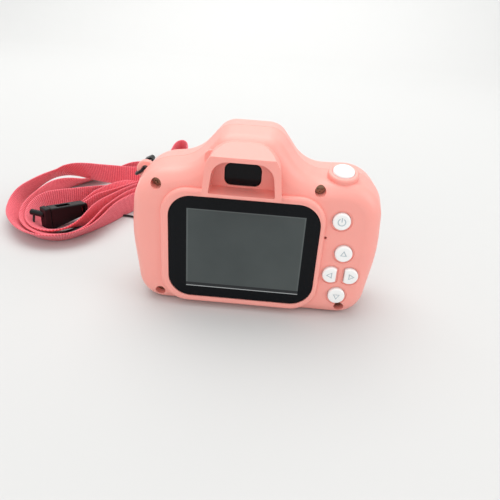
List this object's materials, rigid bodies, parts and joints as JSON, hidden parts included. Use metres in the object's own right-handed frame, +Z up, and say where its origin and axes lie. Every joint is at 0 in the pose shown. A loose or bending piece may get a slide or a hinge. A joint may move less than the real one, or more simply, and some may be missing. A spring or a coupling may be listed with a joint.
{
  "type": "kids digital camera",
  "caption": "Child's compact digital camera: two-shell pink body, viewfinder hump with eyecup, rear screen and buttons, shutter, lens barrel, neck strap",
  "frame": {"origin": "bottom centre of the camera without its strap", "axes": "+Z up, +Y forward along the lens, -Y the screen side, +X to the right seen from the screen side"},
  "size_m": [0.1566, 0.1698, 0.0607],
  "materials": {
    "shell_pink": "satin moulded ABS",
    "rubber_pink": "soft rubber",
    "window_black": "polished acrylic, printed black behind",
    "lcd_grey": "switched-off LCD",
    "white_plastic": "moulded white plastic",
    "module_black": "moulded black plastic",
    "clear_glass": "clear",
    "barrel_white": "gloss moulded ABS",
    "trim_silver": "plated plastic",
    "black_plastic": "moulded black plastic",
    "flash_frost": "frosted clear plastic",
    "led_yellow": "phosphor LED",
    "board_green": "solder mask",
    "switch_metal": "stamped metal",
    "screw_steel": "bronzed steel",
    "battery_foil": "foil pouch",
    "foam_black": "foam tape",
    "socket_steel": "stamped steel",
    "buckle_black": "moulded acetal",
    "ribbon_pink": "woven grosgrain",
    "cord_black": "braided cord",
    "button_white": "gloss moulded ABS"
  },
  "bodies": {
    "root": {"battery": "battery_foil", "battery_pad": "foam_black", "board_screws": "screw_steel", "buckle_female": "buckle_black", "buckle_male": "buckle_black", "button_board": "board_green", "button_switches": "switch_metal", "camera_module": "module_black", "card_socket": "socket_steel", "case_screws": "screw_steel", "cord_crimp": "buckle_black", "finder_window": "window_black", "flash_led": "led_yellow", "flash_window": "flash_frost", "front_shell": "shell_pink", "lanyard_cord": "cord_black", "lanyard_ribbon": "ribbon_pink", "lcd_frame": "white_plastic", "lcd_panel": "lcd_grey", "lens_barrel": "barrel_white", "lens_glass": "clear_glass", "lens_plate": "black_plastic", "lens_screws": "screw_steel", "lens_spacer": "black_plastic", "lens_trim_ring": "trim_silver", "main_board": "board_green", "microphone": "switch_metal", "module_lens": "clear_glass", "port_board": "board_green", "rear_shell": "shell_pink", "screen_window": "window_black", "selfie_camera": "module_black", "shutter_board": "board_green", "shutter_switch": "switch_metal", "speaker": "black_plastic", "usb_socket": "socket_steel"},
    "down_button": {"down_button": "button_white"},
    "left_button": {"left_button": "button_white"},
    "port_cover_body": {"port_cover": "rubber_pink"},
    "power_button": {"power_button": "button_white"},
    "right_button": {"right_button": "button_white"},
    "shutter_button": {"shutter_button": "button_white"},
    "up_button": {"up_button": "button_white"}
  },
  "joints": [
    {"name": "power_button_press", "type": "slide", "parent": "root", "child": "power_button", "axis": [0, 1, 0], "range_m": [0, 0.0005], "stiffness_N_per_m": 600},
    {"name": "up_button_press", "type": "slide", "parent": "root", "child": "up_button", "axis": [0, 1, 0], "range_m": [0, 0.0005], "stiffness_N_per_m": 600},
    {"name": "left_button_press", "type": "slide", "parent": "root", "child": "left_button", "axis": [0, 1, 0], "range_m": [0, 0.0005], "stiffness_N_per_m": 600},
    {"name": "right_button_press", "type": "slide", "parent": "root", "child": "right_button", "axis": [0, 1, 0], "range_m": [0, 0.0005], "stiffness_N_per_m": 600},
    {"name": "down_button_press", "type": "slide", "parent": "root", "child": "down_button", "axis": [0, 1, 0], "range_m": [0, 0.0005], "stiffness_N_per_m": 600},
    {"name": "shutter_button_press", "type": "slide", "parent": "root", "child": "shutter_button", "axis": [0, 0.2924, -0.9563], "range_m": [0, 0.0008], "stiffness_N_per_m": 600},
    {"name": "port_cover_hinge", "type": "hinge", "parent": "root", "child": "port_cover_body", "pos_m": [0.0408, 0.0027, 0.025], "axis": [0, 0, 1], "range_deg": [0, 110]}
  ]
}
